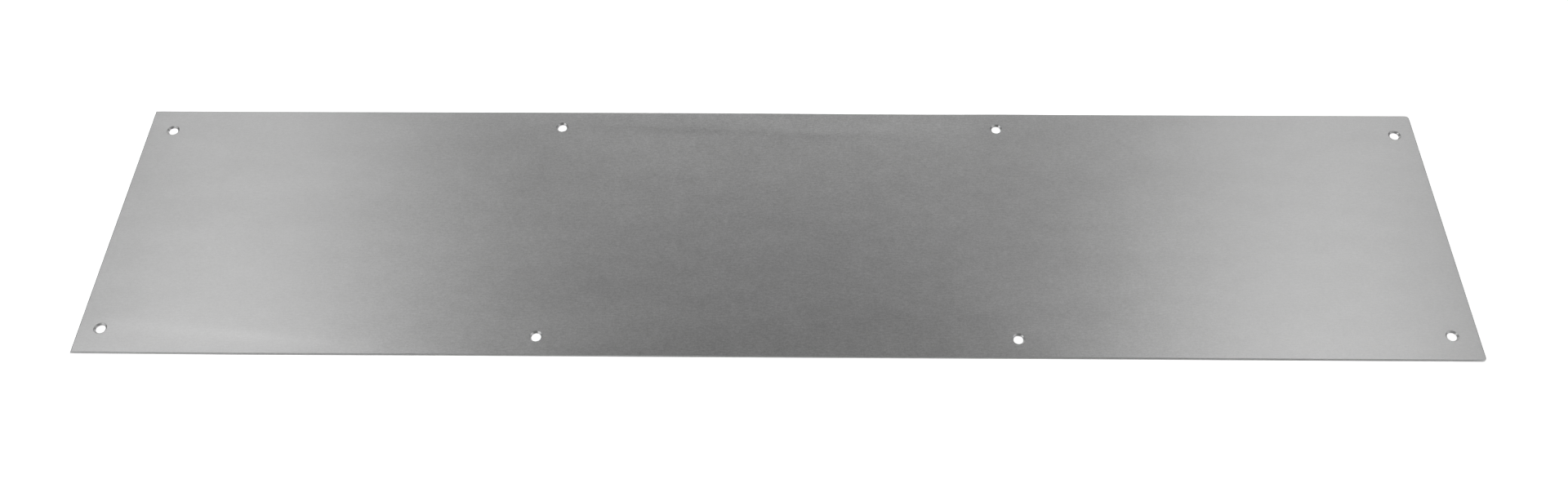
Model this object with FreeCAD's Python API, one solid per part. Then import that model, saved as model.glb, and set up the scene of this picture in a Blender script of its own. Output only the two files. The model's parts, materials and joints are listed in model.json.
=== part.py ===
import FreeCAD, Part
import math
import os

# Kick plate: one flat sheet of satin stainless steel, screwed to the foot of a door.
# Units are millimetres. +X runs along the plate, +Y across it, +Z out of its finished face.
# The origin is the middle of the flat back, which lies against the door.
# The plate has no other pieces and nothing on it moves.

# The sheet
plate_length = 863.6  # 34 in, for a door leaf 36 in wide
plate_width = 203.2  # 8 in
sheet_thickness = 1.27  # 0.050 in
face_bevel = sheet_thickness / 2  # 45 degree bevel round the finished face
back_edge_break = 0.15  # deburred edge round the back
right_corner_radius = 2.4  # the two corners at +X; the two at -X are left square

# The screw holes: a back row at +Y and a front row at -Y, four holes in each
hole_diameter = 5.95  # 15/64 in
countersink_diameter = 7.94  # 5/16 in, at the finished face
countersink_angle = 82.0  # included angle, the angle of an inch-size screw head
outer_reach = 416.65  # from the plate's middle to an end hole, along X
outer_skew = 1.45  # the back row's end holes sit this far to +X, the front row's to -X
outer_edge_distance = 18.4  # from an end hole to the long edge beside it
inner_reach = 148.3  # from the plate's middle to an inner hole, along X
inner_edge_distance = 14.2  # from an inner hole to the long edge beside it
front_inner_shift = 1.2  # the front row's two inner holes both sit this far to +X


def outline_face():
    """The plate's outline in the plane of its back: square corners at -X, round ones at +X."""
    half_length = plate_length / 2
    half_width = plate_width / 2
    arc_x = half_length - right_corner_radius
    arc_y = half_width - right_corner_radius
    arc_middle = right_corner_radius * math.sqrt(0.5)

    def point(x, y):
        return FreeCAD.Vector(x, y, 0)

    def round_corner(start, side, end):
        middle = point(arc_x + arc_middle, side * (arc_y + arc_middle))
        return Part.Arc(start, middle, end).toShape()

    front_left = point(-half_length, -half_width)
    front_right = point(arc_x, -half_width)
    right_front = point(half_length, -arc_y)
    right_back = point(half_length, arc_y)
    back_right = point(arc_x, half_width)
    back_left = point(-half_length, half_width)
    edges = [
        Part.makeLine(front_left, front_right),
        round_corner(front_right, -1, right_front),
        Part.makeLine(right_front, right_back),
        round_corner(right_back, 1, back_right),
        Part.makeLine(back_right, back_left),
        Part.makeLine(back_left, front_left),
    ]
    return Part.Face(Part.Wire(edges))


def edges_at_height(shape, height):
    """The edges that lie wholly in one level plane."""
    level = []
    for edge in shape.Edges:
        box = edge.BoundBox
        if abs(box.ZMin - height) < 1e-6 and abs(box.ZMax - height) < 1e-6:
            level.append(edge)
    return level


def sheet_blank():
    """The sheet before drilling, with its face bevelled and its back deburred."""
    blank = outline_face().extrude(FreeCAD.Vector(0, 0, sheet_thickness))
    blank = blank.makeChamfer(face_bevel, edges_at_height(blank, sheet_thickness))
    return blank.makeChamfer(back_edge_break, edges_at_height(blank, 0))


def hole_centres():
    """The eight hole centres as (x, y): for each long edge, two end holes and two inner ones."""
    centres = []
    for row, inner_shift in ((1, 0), (-1, front_inner_shift)):
        outer_y = row * (plate_width / 2 - outer_edge_distance)
        inner_y = row * (plate_width / 2 - inner_edge_distance)
        for end in (-1, 1):
            centres.append((end * outer_reach + row * outer_skew, outer_y))
            centres.append((end * inner_reach + inner_shift, inner_y))
    return centres


def countersunk_hole(x, y):
    """A drill and countersink as one cutter, longer than the sheet is thick at both ends."""
    overshoot = 1.0
    slope = math.tan(math.radians(countersink_angle / 2))
    hole_radius = hole_diameter / 2
    depth = (countersink_diameter - hole_diameter) / 2 / slope
    wide_radius = countersink_diameter / 2 + overshoot * slope
    drill = Part.makeCylinder(
        hole_radius, sheet_thickness + 2 * overshoot, FreeCAD.Vector(x, y, -overshoot)
    )
    sink = Part.makeCone(
        hole_radius,
        wide_radius,
        depth + overshoot,
        FreeCAD.Vector(x, y, sheet_thickness - depth),
    )
    return drill.fuse(sink)


def kick_plate():
    """The finished plate, one solid."""
    plate = sheet_blank()
    for x, y in hole_centres():
        plate = plate.cut(countersunk_hole(x, y))
    return plate


os.makedirs("parts", exist_ok=True)
plate = kick_plate()
box = plate.BoundBox
print("solids", len(plate.Solids), "valid", plate.isValid(), "volume mm3", round(plate.Volume, 1))
print("size mm", round(box.XLength, 3), round(box.YLength, 3), round(box.ZLength, 3))
for x, y in hole_centres():
    print("hole", round(x, 2), round(y, 2))
plate.Solids[0].exportStep("parts/kick_plate.step")
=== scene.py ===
import json
import math
import bpy
from mathutils import Matrix, Vector


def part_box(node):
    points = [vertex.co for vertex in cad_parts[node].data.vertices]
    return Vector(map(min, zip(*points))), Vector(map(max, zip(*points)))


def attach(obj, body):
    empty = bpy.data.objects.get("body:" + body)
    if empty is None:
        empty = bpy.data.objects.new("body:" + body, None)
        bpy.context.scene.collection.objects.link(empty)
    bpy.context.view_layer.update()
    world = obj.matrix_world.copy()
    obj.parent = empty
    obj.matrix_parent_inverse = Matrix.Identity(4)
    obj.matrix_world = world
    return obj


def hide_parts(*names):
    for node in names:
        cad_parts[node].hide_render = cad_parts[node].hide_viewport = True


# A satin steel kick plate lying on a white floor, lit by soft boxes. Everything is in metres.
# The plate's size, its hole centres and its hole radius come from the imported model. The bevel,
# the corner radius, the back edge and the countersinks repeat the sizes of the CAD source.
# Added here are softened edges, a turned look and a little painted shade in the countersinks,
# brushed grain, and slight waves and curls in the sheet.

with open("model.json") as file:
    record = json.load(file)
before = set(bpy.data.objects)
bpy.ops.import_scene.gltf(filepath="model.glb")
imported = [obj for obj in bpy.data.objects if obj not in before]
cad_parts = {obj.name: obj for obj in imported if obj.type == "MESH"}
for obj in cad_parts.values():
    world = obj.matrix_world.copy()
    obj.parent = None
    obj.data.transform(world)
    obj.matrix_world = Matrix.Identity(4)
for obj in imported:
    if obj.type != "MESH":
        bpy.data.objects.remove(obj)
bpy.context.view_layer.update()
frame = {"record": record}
MM = 0.001

# ---------------------------------------------------------------- sizes of the plate
NODE = "kick_plate"
_, plate_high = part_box(NODE)
HALF_LENGTH = plate_high[0]
HALF_WIDTH = plate_high[1]
THICKNESS = plate_high[2]
BEVEL = THICKNESS / 2
BACK_BREAK = 0.15 * MM
CORNER_RADIUS = 2.4 * MM
SINK_RADIUS = 3.97 * MM
SINK_HALF_ANGLE = math.radians(41)
EDGE_SOFTNESS = 0.09 * MM
RIM_SOFTNESS = 0.05 * MM
SUPPORT = 0.2 * MM  # flat strip kept beside each softened edge, so that its shading stays narrow
ARC_X = HALF_LENGTH - CORNER_RADIUS  # centres of the round corners, at plus and minus ARC_Y
ARC_Y = HALF_WIDTH - CORNER_RADIUS

# ---------------------------------------------------------------- waves and curls of the sheet
WAVE_HEIGHT = 0.08 * MM
WAVE_BASE = 1.5  # in wave heights; it keeps the whole sheet above the floor
# Each wave as (radians per metre along x, the same along y, phase, share of WAVE_HEIGHT).
WAVES = (
    (9.1, 14.0, 0.6, 1.0),
    (21.0, -17.0, 2.1, 0.5),
)
CURL_HEIGHT = 0.2 * MM
CURL_BASE = 2.0  # in curl heights; it leaves room for the curls that go down
# Each curl of a long edge as (lift in curl heights, centre and half width along x, side in y,
# where it starts in y at x = 0, change of that start per metre of x, softness of the start).
EDGE_CURLS = (
    (1.5, -0.09, 0.13, 1, 0.081, -0.06, 0.0035),
    (-1.5, 0.07, 0.07, 1, 0.0885, 0.0, 0.0055),
    (1.0, 0.155, 0.025, 1, 0.087, 0.0, 0.004),
    (-2.0, -0.33, 0.08, -1, 0.121, 0.1, 0.004),
)
# A low slanting ridge in the face, as (lift in curl heights, centre and half width along x,
# centre in y, change of that centre per metre of x, half width across).
RIDGE = (0.5, -0.08, 0.05, 0.045, -0.3, 0.008)

# ---------------------------------------------------------------- camera
CAMERA_PLACE = (0.0178, -0.6445, 0.7938)
CAMERA_SENSOR = 36  # mm wide
CAMERA_LENS = 36.12  # mm
CAMERA_HEADING = 1.18  # degrees, to the left of straight ahead
CAMERA_TILT = 38.70  # degrees, up from straight down
CAMERA_ROLL = -0.635  # degrees

# ---------------------------------------------------------------- light
FLOOR_REACH = 30.0  # from the plate's middle to each side of the floor
FLOOR_GREY = 0.9
FLOOR_ROUGHNESS = 0.9
FLOOR_GLOW = 0.65  # the white floor also glows a little, so that it is white inside the holes
WALL_GLOW = 0.7
ROOM_GLOW = 0.022
WALL_FULL = 0.05  # sines of the heights above the horizon between which the walls fade
WALL_END = 0.30
# Each soft box or white card as (place, size, power in watts), facing the middle of the plate.
SOFT_BOXES = {
    "left_rear_box": ((-0.8, 0.5, 1.4), (0.4, 0.7), 1.89),
    "left_front_box": ((-1.0, -0.3, 1.4), (0.4, 0.7), 6.52),
    "right_rear_box": ((0.8, 0.5, 1.4), (0.4, 0.7), 2.85),
    "right_front_box": ((0.8, -0.3, 1.4), (0.4, 0.7), 2.95),
    "left_card": ((-2.5, -1.2, 0.5), (2.8, 1.0), 20.0),
    "right_card": ((2.5, -1.2, 0.5), (2.8, 1.0), 20.0),
    "front_card": ((0, -2.8, 0.5), (4.8, 1.0), 10.0),
    "back_strip": ((0, 0.8, 0.3), (1.6, 0.3), 1.93),
    "back_lamp": ((0, 0.76, 0.285), (0.48, 0.28), 0.57),
}

# ---------------------------------------------------------------- mesh density
FACE_STEP = 8 * MM
RIM_STEP = 1 * MM
RIM_STRIP = 2 * RIM_STEP  # first row of faces inside the rim
NARROW_GAP = 2 * FACE_STEP  # narrower gaps between blocks take the step of the rim
BLOCK_HALF = 8 * MM  # each hole sits in a square block of this half size
BLOCK_CELLS = 14
FAN_RINGS = 5
FAN_EASE = 1.4  # above 1 the rings crowd together towards the hole
FIRST_ANGLE = math.radians(-135)  # rings start at the block's corner at -X -Y
ARC_STEPS = 3

# ---------------------------------------------------------------- finishes
# Noise layers of the brushed face as (size of the features, detail, offset).
FINE_LAYER = ((4 * MM, 1 * MM, 1), 2, 0.0)
SPECK_LAYER = ((1 * MM, 0.9 * MM, 1), 1, 3.7)
MOTTLE_LAYER = ((16 * MM, 10 * MM, 1), 3, 5.3)
CLOUD_LAYER = ((90 * MM, 30 * MM, 1), 3, 8.1)
PLAIN_LAYER = ((1.2 * MM, 1.2 * MM, 0.3 * MM), 3, 0.0)
NOISE_ROUGHNESS = 0.5
NOISE_SPREAD = (0.3, 0.7)  # the part of the noise's range that is used
FINE_SPREAD = (0.25, 0.75)
FINE_WEIGHT = 1.0
SPECK_WEIGHT = 0.9
MOTTLE_WEIGHT = 0.35
GRAIN_SPREAD = (-1.5, 1.5)
GRAIN_FADE = (0.0, 0.09)  # squares of the distances along x between which the grain weakens
GRAIN_STRENGTH = (1.0, 0.35)  # in the middle and at the ends
FACE_TONE = (0.50, 0.68)
FACE_TONE_DRIFT = 0.015
FACE_ROUGHNESS = (0.44, 0.47)
FACE_ROUGHNESS_GRAIN = 0.03
FACE_ANISOTROPY = 0.75
FACE_RELIEF = 0.04 * MM
ACROSS_THE_GRAIN = 0.25  # of a turn: reflections spread across the grain
PLAIN_TONE_SPREAD = (0.9, 1.08)  # times the tone
PLAIN_ROUGHNESS_SPREAD = 0.05
# The other finishes as (name, tone, roughness, anisotropy), in the order EDGE, TURNED, BACK.
PLAIN_METALS = (
    ("cut_edge", 0.5, 0.5, 0.3),
    # The countersinks and bores get a tone a little darker than the other finishes: painted shade
    # that dims what the hole walls reflect.
    ("turned_sink_painted_shade", 0.47, 0.4, 0.9),
    ("mill_back", 0.5, 0.45, 0.3),
)


PATTERNS = [mount for mount in frame["record"]["mounts"] if mount["kind"] == "bolt_pattern"]
HOLE_RADIUS = PATTERNS[0]["dims"]["hole_r_mm"] * MM  # the same in every pattern


def hole_centres():
    """Both holes of every bolt pattern, as (x, y)."""
    centres = []
    for pattern in PATTERNS:
        x, y = pattern["pos_m"][:2]
        reach = pattern["dims"]["spacing_x_mm"] / 2 * MM
        centres += [(x - reach, y), (x + reach, y)]
    return centres


HOLES = hole_centres()


def middle_of(values):
    return sum(values) / len(values)


# The blocks of each column and row of holes are set at its mean place.
OUTER_COLUMN = middle_of([abs(x) for x, y in HOLES if abs(x) > HALF_LENGTH / 2])
INNER_COLUMN = middle_of([abs(x) for x, y in HOLES if abs(x) < HALF_LENGTH / 2])
HOLE_ROW = middle_of([abs(y) for x, y in HOLES])


# ---------------------------------------------------------------- the sheet's slight bends
def bump(value, centre, half_width):
    """A smooth hump of height 1 at centre, which dies away over half_width."""
    return math.exp(-((value - centre) / half_width) ** 2)


def step(value, centre, half_width):
    """A smooth step from 0 to 1, most of it within half_width of centre."""
    return (1 + math.tanh((value - centre) / half_width)) / 2


def sheet_lift(x, y):
    """How far the sheet stands off a true plane: waves, curls in both long edges, one ridge."""
    waves = WAVE_BASE
    for along_x, along_y, phase, share in WAVES:
        waves += share * math.sin(along_x * x + along_y * y + phase)
    curl = CURL_BASE
    for lift, centre_x, reach_x, side, start, slope, softness in EDGE_CURLS:
        curl += lift * bump(x, centre_x, reach_x) * step(side * y, start + slope * x, softness)
    lift, centre_x, reach_x, centre_y, slope, reach_y = RIDGE
    line = centre_y + slope * (x - centre_x)
    curl += lift * bump(x, centre_x, reach_x) * bump(y, line, reach_y)
    return WAVE_HEIGHT * waves + CURL_HEIGHT * curl


# ---------------------------------------------------------------- profiles of rims and edges
def softened(points, radius):
    """A run of straight lines with an arc of the given radius at each corner."""
    path = [Vector(points[0])]
    for before, corner, after in zip(points, points[1:], points[2:]):
        corner = Vector(corner)
        back = (Vector(before) - corner).normalized()
        ahead = (Vector(after) - corner).normalized()
        turn = math.pi - back.angle(ahead)
        reach = radius * math.tan(turn / 2)
        bisector = (back + ahead).normalized()
        centre = corner + bisector * (radius / math.cos(turn / 2))
        start = corner + back * reach - centre
        end = corner + ahead * reach - centre
        for k in range(ARC_STEPS + 1):
            share = k / ARC_STEPS
            weight_start = math.sin((1 - share) * turn) / math.sin(turn)
            weight_end = math.sin(share * turn) / math.sin(turn)
            path.append(centre + start * weight_start + end * weight_end)
    path.append(Vector(points[-1]))
    return path


# Across the plate's edge, as (distance in from the outline, height).
FACE_INSET = BEVEL + SUPPORT
BACK_INSET = BACK_BREAK + SUPPORT
EDGE_PROFILE = softened(
    [(FACE_INSET, THICKNESS), (BEVEL, THICKNESS), (0, THICKNESS - BEVEL), (0, BACK_BREAK),
     (BACK_BREAK, 0), (BACK_INSET, 0)],
    EDGE_SOFTNESS,
)
# Down through a hole, as (radius, height).
SINK_DEPTH = (SINK_RADIUS - HOLE_RADIUS) / math.tan(SINK_HALF_ANGLE)
HOLE_PROFILE = softened(
    [(SINK_RADIUS + SUPPORT, THICKNESS), (SINK_RADIUS, THICKNESS),
     (HOLE_RADIUS, THICKNESS - SINK_DEPTH), (HOLE_RADIUS, 0), (HOLE_RADIUS + SUPPORT, 0)],
    RIM_SOFTNESS,
)


# ---------------------------------------------------------------- the plate's mesh
class Sheet:
    """Collects points, faces, each face's finish and its grain coordinates."""

    def __init__(self):
        self.points = []
        self.faces = []
        self.finishes = []
        self.grain = []

    def add_point(self, x, y, z):
        self.points.append((x, y, z + sheet_lift(x, y)))
        return len(self.points) - 1

    def add_face(self, corners, finish, grain=None):
        self.faces.append(corners)
        self.finishes.append(finish)
        self.grain.append(grain or [self.points[c][:2] for c in corners])

    def add_strip(self, rings, lengths, depths, finish):
        """Joins closed rings of equal count, one below the other. The faces look outward."""
        count = len(rings[0])
        for row in range(len(rings) - 1):
            upper, lower = rings[row], rings[row + 1]
            for k in range(count):
                after = (k + 1) % count
                corners = [upper[k], lower[k], lower[after], upper[after]]
                left, right = lengths[k], lengths[k + 1]
                top, base = depths[row], depths[row + 1]
                grain = [(left, top), (left, base), (right, base), (right, top)]
                self.add_face(corners, finish, grain)


FACE, EDGE, TURNED, BACK = range(4)


def spread(start, end, cells):
    """The starts of equal cells from start to end."""
    return [start + (end - start) * k / cells for k in range(cells)]


def lattice_lines(half, columns, inset):
    """Line positions from one rim to the other, and the line where each hole block starts."""
    lines = [-(half - inset)]
    starts = []
    here = -half + RIM_STRIP
    for column in columns:
        block_start = column - BLOCK_HALF
        cells = max(1, round((block_start - here) / FACE_STEP))
        if block_start - here < NARROW_GAP:
            cells = max(1, round((block_start - here) / RIM_STEP))
        lines += spread(here, block_start, cells)
        starts.append(len(lines))
        lines += spread(block_start, column + BLOCK_HALF, BLOCK_CELLS)
        here = column + BLOCK_HALF
    end = half - RIM_STRIP
    lines += spread(here, end, max(1, round((end - here) / RIM_STEP)))
    lines += [end, half - inset]
    return lines, starts


def round_the_corners(x, y, inset):
    """Moves a point of a square-cornered lattice so that its corners at +X are round."""
    radius = CORNER_RADIUS - inset
    if x <= ARC_X or abs(y) <= ARC_Y:
        return x, y
    u = (x - ARC_X) / radius
    v = (abs(y) - ARC_Y) / radius
    round_u = u * math.sqrt(1 - v * v / 2)
    round_v = v * math.sqrt(1 - u * u / 2)
    return ARC_X + radius * round_u, math.copysign(ARC_Y + radius * round_v, y)


def outward(x, y, edge_x, edge_y):
    """The way out of the plate at a point of its rim. A square corner goes both ways out."""
    if x > ARC_X and abs(y) > ARC_Y:
        return Vector((x - ARC_X, y - math.copysign(ARC_Y, y))).normalized()
    return Vector((edge_x, edge_y))


def lay_face(sheet, height, inset, ring_radius, finish, flip):
    """One flat side of the plate. Gives its rim as (number, place, way out) and the rings."""
    columns = [-OUTER_COLUMN, -INNER_COLUMN, INNER_COLUMN, OUTER_COLUMN]
    x_lines, x_starts = lattice_lines(HALF_LENGTH, columns, inset)
    y_lines, y_starts = lattice_lines(HALF_WIDTH, [-HOLE_ROW, HOLE_ROW], inset)
    last_x, last_y = len(x_lines) - 1, len(y_lines) - 1

    def in_block(i, j, margin):
        """Whether a lattice point lies in a hole block, at least margin lines from its border."""
        for a in x_starts:
            for b in y_starts:
                inside_x = a + margin <= i <= a + BLOCK_CELLS - margin
                inside_y = b + margin <= j <= b + BLOCK_CELLS - margin
                if inside_x and inside_y:
                    return True
        return False

    def lay(corners):
        sheet.add_face(corners[::-1] if flip else corners, finish)

    numbers = {}
    for i, x in enumerate(x_lines):
        for j, y in enumerate(y_lines):
            if not in_block(i, j, 1):
                numbers[i, j] = sheet.add_point(*round_the_corners(x, y, inset), height)
    for i in range(last_x):
        for j in range(last_y):
            if not (in_block(i, j, 0) and in_block(i + 1, j + 1, 0)):
                corners = ((i, j), (i + 1, j), (i + 1, j + 1), (i, j + 1))
                lay([numbers[corner] for corner in corners])

    rim = []
    steps = [(i, 0, 0, -1) for i in range(last_x)]
    steps += [(last_x, j, 1, 0) for j in range(last_y)]
    steps += [(i, last_y, 0, 1) for i in range(last_x, 0, -1)]
    steps += [(0, j, -1, 0) for j in range(last_y, 0, -1)]
    for i, j, edge_x, edge_y in steps:
        if i in (0, last_x) and j in (0, last_y):
            edge_x = -1 if i == 0 else 1
            edge_y = -1 if j == 0 else 1
        x, y = sheet.points[numbers[i, j]][:2]
        rim.append((numbers[i, j], Vector((x, y)), outward(x, y, edge_x, edge_y)))

    rings = []
    for hole in HOLES:
        a = min(x_starts, key=lambda s: abs(x_lines[s] + BLOCK_HALF - hole[0]))
        b = min(y_starts, key=lambda s: abs(y_lines[s] + BLOCK_HALF - hole[1]))
        rings.append(lay_block(sheet, numbers, a, b, hole, ring_radius, height, lay))
    return rim, rings


def ring_angle(k, count):
    """The direction of point k of a ring of count points round a hole."""
    return FIRST_ANGLE + 2 * math.pi * k / count


def lay_block(sheet, numbers, a, b, centre, ring_radius, height, lay):
    """The faces between a hole block's square border and the round ring about its hole."""
    c = BLOCK_CELLS
    border = [(a + k, b) for k in range(c)] + [(a + c, b + k) for k in range(c)]
    border += [(a + c - k, b + c) for k in range(c)] + [(a, b + c - k) for k in range(c)]
    outer = [numbers[key] for key in border]
    count = len(outer)
    square = [Vector(sheet.points[n][:2]) for n in outer]
    middle = Vector(centre)
    previous = outer
    for row in range(1, FAN_RINGS + 1):
        share = row / FAN_RINGS
        ease = 1 - (1 - share) ** FAN_EASE
        ring = []
        for k in range(count):
            angle = ring_angle(k, count)
            on_circle = middle + ring_radius * Vector((math.cos(angle), math.sin(angle)))
            ring.append(sheet.add_point(*square[k].lerp(on_circle, ease), height))
        for k in range(count):
            after = (k + 1) % count
            lay([previous[k], previous[after], ring[after], ring[k]])
        previous = ring
    return previous


def path_lengths(points):
    """Running lengths along a list of points."""
    lengths = [0.0]
    for before, after in zip(points, points[1:]):
        lengths.append(lengths[-1] + (after - before).length)
    return lengths


def add_edge(sheet, face_rim, back_rim):
    """The bevel, the cut edge and the deburred back edge, all the way round."""
    rings = [[number for number, place, way in face_rim]]
    for inset, height in EDGE_PROFILE[1:-1]:
        ring = []
        for number, place, way in face_rim:
            x, y = place + way * (FACE_INSET - inset)
            ring.append(sheet.add_point(x, y, height))
        rings.append(ring)
    rings.append([number for number, place, way in back_rim])
    places = [place for number, place, way in face_rim]
    lengths = path_lengths(places + places[:1])
    sheet.add_strip(rings, lengths, path_lengths(EDGE_PROFILE), EDGE)


def add_hole_walls(sheet, centre, face_ring, back_ring):
    """The countersink and the bore of one hole."""
    count = len(face_ring)
    rings = [face_ring]
    for radius, height in HOLE_PROFILE[1:-1]:
        ring = []
        for k in range(count):
            angle = ring_angle(k, count)
            x = centre[0] + radius * math.cos(angle)
            y = centre[1] + radius * math.sin(angle)
            ring.append(sheet.add_point(x, y, height))
        rings.append(ring)
    rings.append(back_ring)
    lengths = [2 * math.pi * HOLE_RADIUS * k / count for k in range(count + 1)]
    # Seen from inside the hole the rings run the other way round.
    flipped = [ring[::-1] for ring in rings]
    sheet.add_strip(flipped, lengths, path_lengths(HOLE_PROFILE), TURNED)


def build_plate():
    """The whole sheet as one closed mesh."""
    sheet = Sheet()
    sink_ring = SINK_RADIUS + SUPPORT
    bore_ring = HOLE_RADIUS + SUPPORT
    face_rim, face_rings = lay_face(sheet, THICKNESS, FACE_INSET, sink_ring, FACE, False)
    back_rim, back_rings = lay_face(sheet, 0, BACK_INSET, bore_ring, BACK, True)
    add_edge(sheet, face_rim, back_rim)
    for hole, face_ring, back_ring in zip(HOLES, face_rings, back_rings):
        add_hole_walls(sheet, hole, face_ring, back_ring)
    mesh = bpy.data.meshes.new("plate_sheet")
    mesh.from_pydata(sheet.points, [], sheet.faces)
    mesh.polygons.foreach_set("material_index", sheet.finishes)
    mesh.polygons.foreach_set("use_smooth", [True] * len(sheet.faces))
    layer = mesh.uv_layers.new(name="grain")
    flat = [value for face in sheet.grain for pair in face for value in pair]
    layer.data.foreach_set("uv", flat)
    mesh.update()
    mesh.validate()
    plate = bpy.data.objects.new("plate_sheet", mesh)
    bpy.context.collection.objects.link(plate)
    return plate


# ---------------------------------------------------------------- materials
def new_material(name):
    """A material with one Principled shader joined to its output."""
    material = bpy.data.materials.new(name)
    material.use_nodes = True
    tree = material.node_tree
    tree.nodes.clear()
    output = tree.nodes.new("ShaderNodeOutputMaterial")
    shader = tree.nodes.new("ShaderNodeBsdfPrincipled")
    tree.links.new(shader.outputs[0], output.inputs["Surface"])
    return material, tree, shader


def stretched_noise(tree, size, detail, offset):
    """Noise whose features are about size (x, y, z) metres."""
    place = tree.nodes.new("ShaderNodeTexCoord")
    mapping = tree.nodes.new("ShaderNodeMapping")
    mapping.inputs["Scale"].default_value = [1 / s for s in size]
    mapping.inputs["Location"].default_value = (offset, offset, offset)
    noise = tree.nodes.new("ShaderNodeTexNoise")
    noise.inputs["Scale"].default_value = 1.0
    noise.inputs["Detail"].default_value = detail
    noise.inputs["Roughness"].default_value = NOISE_ROUGHNESS
    tree.links.new(place.outputs["Object"], mapping.inputs["Vector"])
    tree.links.new(mapping.outputs["Vector"], noise.inputs["Vector"])
    return noise.outputs["Fac"]


def mapped(tree, value, source, target):
    """The value carried from the range source = (low, high) to the range target."""
    node = tree.nodes.new("ShaderNodeMapRange")
    node.inputs["From Min"].default_value, node.inputs["From Max"].default_value = source
    node.inputs["To Min"].default_value, node.inputs["To Max"].default_value = target
    tree.links.new(value, node.inputs["Value"])
    return node.outputs["Result"]


def swing(tree, value, source, reach):
    """The value carried from the range source to the range from -reach to reach."""
    return mapped(tree, value, source, (-reach, reach))


def combined(tree, operation, first, second):
    """Two node outputs joined by a Math node."""
    node = tree.nodes.new("ShaderNodeMath")
    node.operation = operation
    tree.links.new(first, node.inputs[0])
    tree.links.new(second, node.inputs[1])
    return node.outputs["Value"]


def finish_metal(tree, shader, tone, roughness, anisotropy):
    """Sets a grey metal whose reflections spread across the coordinates of the layer grain."""
    grey = tree.nodes.new("ShaderNodeCombineColor")
    for channel in grey.inputs[:3]:
        tree.links.new(tone, channel)
    tree.links.new(grey.outputs[0], shader.inputs["Base Color"])
    tree.links.new(roughness, shader.inputs["Roughness"])
    shader.inputs["Metallic"].default_value = 1.0
    shader.inputs["Anisotropic"].default_value = anisotropy
    shader.inputs["Anisotropic Rotation"].default_value = ACROSS_THE_GRAIN
    tangent = tree.nodes.new("ShaderNodeTangent")
    tangent.direction_type = "UV_MAP"
    tangent.uv_map = "grain"
    tree.links.new(tangent.outputs["Tangent"], shader.inputs["Tangent"])


def grain_strength(tree):
    """Full in the middle of the plate and weaker towards its ends."""
    place = tree.nodes.new("ShaderNodeTexCoord")
    parts = tree.nodes.new("ShaderNodeSeparateXYZ")
    tree.links.new(place.outputs["Object"], parts.inputs["Vector"])
    x_squared = combined(tree, "MULTIPLY", parts.outputs["X"], parts.outputs["X"])
    return mapped(tree, x_squared, GRAIN_FADE, GRAIN_STRENGTH)


def satin_face():
    """The brushed face. Its grain and mottling are strongest about the middle of the plate."""
    material, tree, shader = new_material("satin_face")
    fine = stretched_noise(tree, *FINE_LAYER)
    speck = stretched_noise(tree, *SPECK_LAYER)
    mottle = stretched_noise(tree, *MOTTLE_LAYER)
    cloud = stretched_noise(tree, *CLOUD_LAYER)

    streaks = combined(tree, "ADD", swing(tree, fine, FINE_SPREAD, FINE_WEIGHT),
                       swing(tree, speck, NOISE_SPREAD, SPECK_WEIGHT))
    blotches = combined(tree, "ADD", streaks,
                        swing(tree, mottle, NOISE_SPREAD, MOTTLE_WEIGHT))
    grain = combined(tree, "MULTIPLY", blotches, grain_strength(tree))
    tone = combined(tree, "ADD", mapped(tree, grain, GRAIN_SPREAD, FACE_TONE),
                    swing(tree, cloud, NOISE_SPREAD, FACE_TONE_DRIFT))
    roughness = combined(tree, "ADD", swing(tree, streaks, GRAIN_SPREAD, FACE_ROUGHNESS_GRAIN),
                         mapped(tree, cloud, NOISE_SPREAD, FACE_ROUGHNESS))
    finish_metal(tree, shader, tone, roughness, FACE_ANISOTROPY)

    relief = tree.nodes.new("ShaderNodeBump")
    relief.inputs["Strength"].default_value = 1.0
    relief.inputs["Distance"].default_value = FACE_RELIEF
    tree.links.new(fine, relief.inputs["Height"])
    tree.links.new(relief.outputs["Normal"], shader.inputs["Normal"])
    return material


def plain_metal(name, tone, roughness, anisotropy):
    """An even metal with a faint speckle."""
    material, tree, shader = new_material(name)
    speck = stretched_noise(tree, *PLAIN_LAYER)
    tones = [tone * factor for factor in PLAIN_TONE_SPREAD]
    sheens = (roughness - PLAIN_ROUGHNESS_SPREAD, roughness + PLAIN_ROUGHNESS_SPREAD)
    finish_metal(tree, shader, mapped(tree, speck, NOISE_SPREAD, tones),
                 mapped(tree, speck, NOISE_SPREAD, sheens), anisotropy)
    return material


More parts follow.
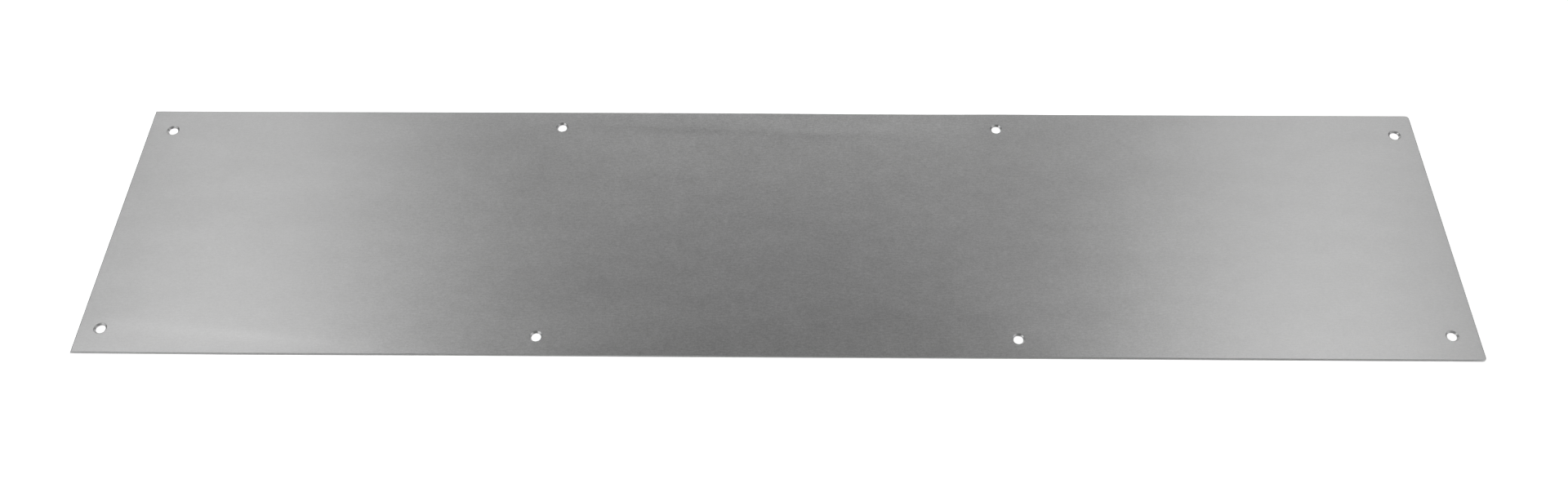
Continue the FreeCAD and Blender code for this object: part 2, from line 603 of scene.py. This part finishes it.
# ---------------------------------------------------------------- floor, lights and camera
def add_floor():
    """A plain white floor at the height of the plate's back."""
    mesh = bpy.data.meshes.new("floor")
    corners = [(-1, -1), (1, -1), (1, 1), (-1, 1)]
    mesh.from_pydata([(x * FLOOR_REACH, y * FLOOR_REACH, 0) for x, y in corners],
                     [], [(0, 1, 2, 3)])
    floor = bpy.data.objects.new("floor", mesh)
    bpy.context.collection.objects.link(floor)
    material, tree, shader = new_material("white_floor")
    shader.inputs["Base Color"].default_value = (FLOOR_GREY, FLOOR_GREY, FLOOR_GREY, 1)
    shader.inputs["Roughness"].default_value = FLOOR_ROUGHNESS
    shader.inputs["Specular IOR Level"].default_value = 0.0
    shader.inputs["Emission Color"].default_value = (1, 1, 1, 1)
    shader.inputs["Emission Strength"].default_value = FLOOR_GLOW
    mesh.materials.append(material)


def add_soft_box(name, place, size, power):
    """An area light that faces the middle of the plate."""
    light = bpy.data.lights.new(name, "AREA")
    light.shape = "RECTANGLE"
    light.size, light.size_y = size
    light.energy = power
    box = bpy.data.objects.new(name, light)
    box.location = place
    box.rotation_euler = (-Vector(place)).to_track_quat("-Z", "Y").to_euler()
    bpy.context.collection.objects.link(box)


def add_world():
    """White walls low down all round, which fade into a dim room above."""
    world = bpy.data.worlds.new("studio")
    world.use_nodes = True
    tree = world.node_tree
    background = tree.nodes["Background"]
    background.inputs["Color"].default_value = (1, 1, 1, 1)
    direction = tree.nodes.new("ShaderNodeTexCoord")
    parts = tree.nodes.new("ShaderNodeSeparateXYZ")
    tree.links.new(direction.outputs["Generated"], parts.inputs["Vector"])
    glow = mapped(tree, parts.outputs["Z"], (WALL_FULL, WALL_END), (WALL_GLOW, ROOM_GLOW))
    tree.links.new(glow, background.inputs["Strength"])
    bpy.context.scene.world = world


def add_camera():
    data = bpy.data.cameras.new("camera")
    data.sensor_width = CAMERA_SENSOR
    data.lens = CAMERA_LENS
    camera = bpy.data.objects.new("camera", data)
    heading = Matrix.Rotation(math.radians(CAMERA_HEADING), 4, "Z")
    tilt = Matrix.Rotation(math.radians(CAMERA_TILT), 4, "X")
    roll = Matrix.Rotation(math.radians(CAMERA_ROLL), 4, "Z")
    camera.matrix_world = Matrix.Translation(CAMERA_PLACE) @ heading @ tilt @ roll
    bpy.context.collection.objects.link(camera)
    bpy.context.scene.camera = camera


add_camera()
plate = build_plate()
plate.data.materials.append(satin_face())
for row in PLAIN_METALS:
    plate.data.materials.append(plain_metal(*row))
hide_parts(NODE)
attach(plate, "root")

add_floor()
add_world()
for name, (place, size, power) in SOFT_BOXES.items():
    add_soft_box(name, place, size, power)
bpy.context.scene.view_settings.view_transform = "Standard"
